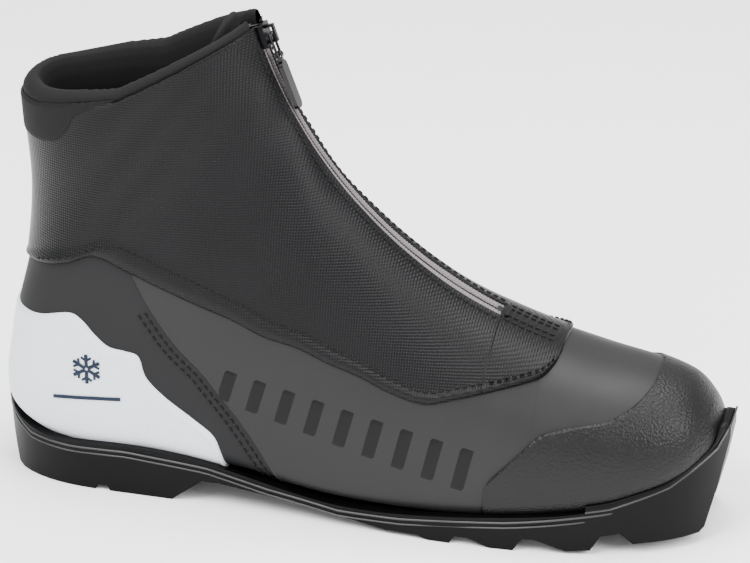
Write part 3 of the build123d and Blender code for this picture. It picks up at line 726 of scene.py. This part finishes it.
# ---- Zip: ribbed tapes and teeth ----
TAPE_ANGLES = np.arange(198.6, 246.5, 0.1)
TAPE_RADIUS = 178.0
TEETH_RADIUS = 179.6
TOOTH_PITCH = 0.4  # degrees of the zip's arc
TOOTH_SIZE = (1.9, 1.2, 0.72)
CHAMFER = 0.3
for side, name in SIDES:
    tape = Build()
    rows = []
    for angle in TAPE_ANGLES:
        rib = 0.13 * math.cos(2 * math.pi * angle / 0.42)
        window = float(np.interp(246.6 - angle, [0, 8, 18, 30, 46], [5.0, 4.6, 3.5, 2.9, 2.9]))
        row = []
        for share in np.linspace(0, 1, 14):
            out = 1.15 + 8.0 * share**1.4
            fold = 1.1 * math.exp(-((out - 1.2) / 0.35) ** 2)
            radius = TAPE_RADIUS + 0.14 * (out - 1.15) + 0.75 * max(0.0, out - window) - rib + fold
            x, z = on_arc(radius, angle)
            row.append((x, side * out, z))
        rows.append(row)
    tape.grid(rows, flip=side < 0)
    piece = tape.finish(f"zip_tape_{name}_cloth", TAPE, f"flap_{name}_body")
    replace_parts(piece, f"zip_tape_{name}")
    teeth = Build()
    for angle in np.arange(198.4 + (TOOTH_PITCH / 2 if side > 0 else 0), 245.3, TOOTH_PITCH):
        radial = np.array([math.cos(math.radians(angle)), 0, math.sin(math.radians(angle))])
        along = np.array([-radial[2], 0, radial[0]])
        x, z = on_arc(TEETH_RADIUS, angle)
        axes = (np.array([0, 1, 0]), radial, along)
        teeth.block((x, side * TOOTH_SIZE[0] / 2, z), axes, TOOTH_SIZE, CHAMFER)
    piece = teeth.finish(f"zip_teeth_{name}", COIL, f"flap_{name}_body", smooth=False)
    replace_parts(piece, f"zip_coil_{name}")

# ---- Stitching ----
STITCH_INSET = 3.6  # from the edge of the cover beside the zip
SEAM_INSET = 0.085  # turn, from the cover's lower seam


def on_cover(u, side, turn):
    """Point on the cover's outside, creases and hem included."""
    turns = np.linspace(zip_edge(side)(u), float(COVER_SEAM(u)), 110)
    lift = np.interp(turn, turns, COVER_LIFT + folds(u, turns, 0)) + 0.1
    return point(np.array([u]), np.array([turn]), side, np.array([lift])).T[0]


for side, name in SIDES:
    seams = Build()
    zip_line = []
    for u in span(FOOT_U + 0.05, 13.4, 0.02):
        beside = np.interp(u, WINDOW_U[:5], WINDOW_HALF[:5]) + STITCH_INSET
        zip_line.append(on_cover(u, side, float(turn_beside(u, side, beside))))
    stitches(seams, zip_line)
    seams.finish(f"zip_stitches_{name}", THREAD, f"flap_{name}_body")
    fixed = Build()
    stitches(fixed, [on_cover(u, side, float(COVER_SEAM(u)) - SEAM_INSET) for u in span(FOOT_U, 13.7, 0.02)])
    us = span(APRON_START + 0.05, FOOT_U - 0.02, 0.02)
    turns = np.array([float(COVER_SEAM(u)) - SEAM_INSET for u in us])
    stitches(fixed, point(us, turns, side, np.full(len(us), 0.85)).T)
    for back in (2.4, 5.2):
        line = [locate(x - back, z - 0.4 * back) for x, z in through(DIAGONAL[1:-1], 10)]
        stitches(fixed, surface_path(line, side, -1.15), pitch=3.4, length=2.3)
    fixed.finish(f"seam_stitches_{name}", THREAD)

front_stitches = Build()
for side, name in SIDES:
    us = span(FOOT_U - 0.75, FOOT_U - 0.02, 0.02)
    for out in (3.2, 7.0):
        turns = np.array([float(turn_beside(u, side, out)) for u in us])
        stitches(front_stitches, point(us, turns, side, np.full(len(us), 0.3)).T)
x, z = on_arc(177.2, 247.1)
bar_axes = (np.array([0, 1, 0]), np.array([0.42, 0, 0.9]), np.array([0.9, 0, -0.42]))
front_stitches.block((x, 0, z), bar_axes, (9.5, 0.7, 1.6), CHAMFER)
front_stitches.finish("zip_end_stitches", THREAD)

# ---- Beads round the sole, coloured lighter than the sole as painted highlight lines along the rim ----
SOLE_LATERAL = [(150, -8), (145, -17), (135, -28), (120, -37), (96, -44), (68, -46.6), (20, -44.6)]
SOLE_LATERAL += [(-20, -40), (-60, -36.8), (-95, -35.2), (-122, -31.5), (-139, -22), (-148, -9), (-150, 0)]
SOLE_MEDIAL = [(-150, 0), (-148, 9), (-139, 22), (-122, 31), (-95, 34.5), (-60, 35.5), (-20, 37.5)]
SOLE_MEDIAL += [(20, 42.5), (68, 47.4), (96, 46), (120, 38.5), (135, 28.5), (145, 17), (150, 8)]
RIM_X = [-150, -134, -115, -90, -56, -30, 0, 26, 69, 109, 130, 146, 150]
RIM_Z = [28, 20.5, 19.5, 20.5, 18, 12.8, 8.7, 9.4, 13.8, 20, 27.5, 38.5, 46]
outline = np.vstack([through(SOLE_LATERAL, 8), through(SOLE_MEDIAL, 8)[1:]])


def rim_height(x):
    return np.interp(x, RIM_X, RIM_Z)


TOE_START_X = 96
beads = Build()
for drop, radius, front_end in ((2.2, 0.5, 122.0), (4.4, 0.38, 112.0)):
    kept = outline[outline[:, 0] < front_end]
    sink = 1 - 0.04 * np.clip((kept[:, 0] - front_end + 16) / 16, 0, 1)
    heights = rim_height(kept[:, 0]) - drop
    beads.tube(np.column_stack([kept[:, 0], kept[:, 1] * sink, heights]), radius)
# The single bead round the toe is a painted highlight line on the rim's front edge
front = [row for row in outline if row[0] > TOE_START_X]
front = through(sorted(front, key=lambda row: math.atan2(row[1], row[0] - 90)), 4)
beads.tube(np.column_stack([front, rim_height(front[:, 0]) - 0.35]), 0.45)
beads.finish("sole_beads_painted_highlight", BEAD_HIGHLIGHT)

# ---- Toe lip: the sole's front edge drawn up against the toe cap ----
toe_grid = np.meshgrid(np.linspace(0, 5, 130), np.linspace(0, KEEL_TURN, 130))
toe_us, toe_turns = (values.ravel() for values in toe_grid)
lip = Build()
inner = []
for x, y in front:
    cap = point(toe_us, toe_turns, -1 if y < 0 else 1).T
    goal = np.array([x - 1.0, y, float(rim_height(x)) + 1.3])
    inner.append(cap[np.argmin(np.linalg.norm(cap - goal, axis=1))])
window = np.hanning(23)[1:-1]
ends = len(window) // 2
inner = np.pad(np.array(inner), ((ends, ends), (0, 0)), mode="edge")
inner = np.array([np.convolve(column, window / window.sum(), mode="valid") for column in inner.T]).T
rows = []
for (x, y), top in zip(front, inner):
    outer = np.array([x + 0.1, y * 1.003, float(rim_height(x)) - 1.6])
    middle = (top + outer) / 2 + np.array([0.5 * (x - 90) / 60, 0.024 * y, 2.6])
    shares = np.linspace(0, 1, 9)
    rows.append([tuple((1 - t) ** 2 * outer + 2 * t * (1 - t) * middle + t**2 * top) for t in shares])
lip.grid(rows)
lip.finish("sole_toe_lip", SOLE)


# ---- Generic marks: a snow star over a plain bar on the heel, a row of dark bars on the side ----
EDGE_SINK = 0.3  # a mark's rim lies this much lower than its face
HEEL_MARK_LIFT = 0.25
SIDE_MARK_LIFT = -0.72


def flat_mark(build, corners, side, lift, across, up):
    """Thin raised patch whose four corners are given in side view."""
    a, b, c, d = (np.array(p, float) for p in corners)
    rows = []
    for i in range(up + 1):
        row = []
        for j in range(across + 1):
            s, t = j / across, i / up
            x, z = (1 - t) * ((1 - s) * a + s * b) + t * ((1 - s) * d + s * c)
            u, turn = locate(x, z)
            edge = i in (0, up) or j in (0, across)
            row.append(one_point(u, turn, side, lift - (EDGE_SINK if edge else 0)))
        rows.append(row)
    build.grid(rows, flip=side < 0)


star = Build()
for side, name in SIDES:
    centre = np.array([-106.0, 53.0])
    for k in range(6):
        angle = math.radians(30 + 60 * k)
        run = np.array([math.cos(angle), math.sin(angle)])
        wide = np.array([-run[1], run[0]]) * 0.75
        start, end = centre + run * 0.6, centre + run * 6.4
        flat_mark(star, (start - wide, end - wide, end + wide, start + wide), side, HEEL_MARK_LIFT, 8, 3)
        for turn in (-55, 55):
            lean = angle + math.radians(turn)
            branch = np.array([math.cos(lean), math.sin(lean)])
            thin = np.array([-branch[1], branch[0]]) * 0.5
            root = centre + run * 3.6
            bud = root + branch * 2.6
            flat_mark(star, (root - thin, bud - thin, bud + thin, root + thin), side, HEEL_MARK_LIFT, 4, 3)
    flat_mark(star, ((-121, 38.2), (-92, 40.4), (-92, 42.0), (-121, 39.8)), side, HEEL_MARK_LIFT, 20, 3)
star.finish("heel_mark", MARK)

tonal = Build()
for side, name in SIDES:
    for k in range(9):
        x = -52 + 12.2 * k
        low = 46 - 2.9 * k
        high = low + 13.5 + 0.6 * k
        corners = ((x, low), (x + 5.2, low - 1.2), (x + 9.4, high - 1.2), (x + 4.2, high))
        flat_mark(tonal, corners, side, SIDE_MARK_LIFT, 6, 14)
tonal.finish("side_mark", TONAL)

# ---- Studio ----
def area_light(name, place, aim, size, power, colour=(1, 1, 1)):
    data = bpy.data.lights.new(name, "AREA")
    data.shape = "RECTANGLE"
    data.size, data.size_y = size
    data.energy = power
    data.color = colour
    light = bpy.data.objects.new(name, data)
    light.location = place
    light.rotation_euler = (Vector(aim) - Vector(place)).to_track_quat("-Z", "Y").to_euler()
    bpy.context.scene.collection.objects.link(light)


area_light("key", (-0.55, -0.75, 1.25), (0, 0, 0.08), (0.9, 0.9), 36)
area_light("front", (1.1, -0.5, 0.9), (0.05, 0, 0.08), (0.8, 0.8), 26)
area_light("top", (0.15, 0.35, 1.4), (0, 0, 0.08), (1.2, 0.8), 32)
area_light("low_fill", (0.1, -1.4, 0.25), (0, 0, 0.07), (1.4, 0.4), 6)

world = bpy.data.worlds.new("studio")
world.use_nodes = True
world.node_tree.nodes["Background"].inputs["Color"].default_value = (1, 1, 1, 1)
world.node_tree.nodes["Background"].inputs["Strength"].default_value = 0.95
bpy.context.scene.world = world

floor_mesh = bpy.data.meshes.new("floor")
FLOOR_CORNERS = [(-6, -6), (6, -6), (6, 6), (-6, 6)]
floor_mesh.from_pydata([(x, y, -0.0002) for x, y in FLOOR_CORNERS], [], [(0, 1, 2, 3)])
floor_material = surface("floor", "#fafafa", "#fdfdfd", 0.8, grain_bump=0.02, specular=0.1)
floor_mesh.materials.append(floor_material)
floor = bpy.data.objects.new("floor", floor_mesh)
bpy.context.scene.collection.objects.link(floor)

AZIMUTH, ELEVATION, DISTANCE = math.radians(14), math.radians(23), 1.3
TARGET = Vector((0.004466, 0, 0.0882))
back = Vector(
    (math.sin(AZIMUTH) * math.cos(ELEVATION), -math.cos(AZIMUTH) * math.cos(ELEVATION), math.sin(ELEVATION))
)
camera_data = bpy.data.cameras.new("camera")
camera_data.sensor_width = 36
camera_data.lens = 156.75
camera = bpy.data.objects.new("camera", camera_data)
camera.location = TARGET + back * DISTANCE
camera.rotation_euler = (-back).to_track_quat("-Z", "Y").to_euler()
bpy.context.scene.collection.objects.link(camera)
bpy.context.scene.camera = camera
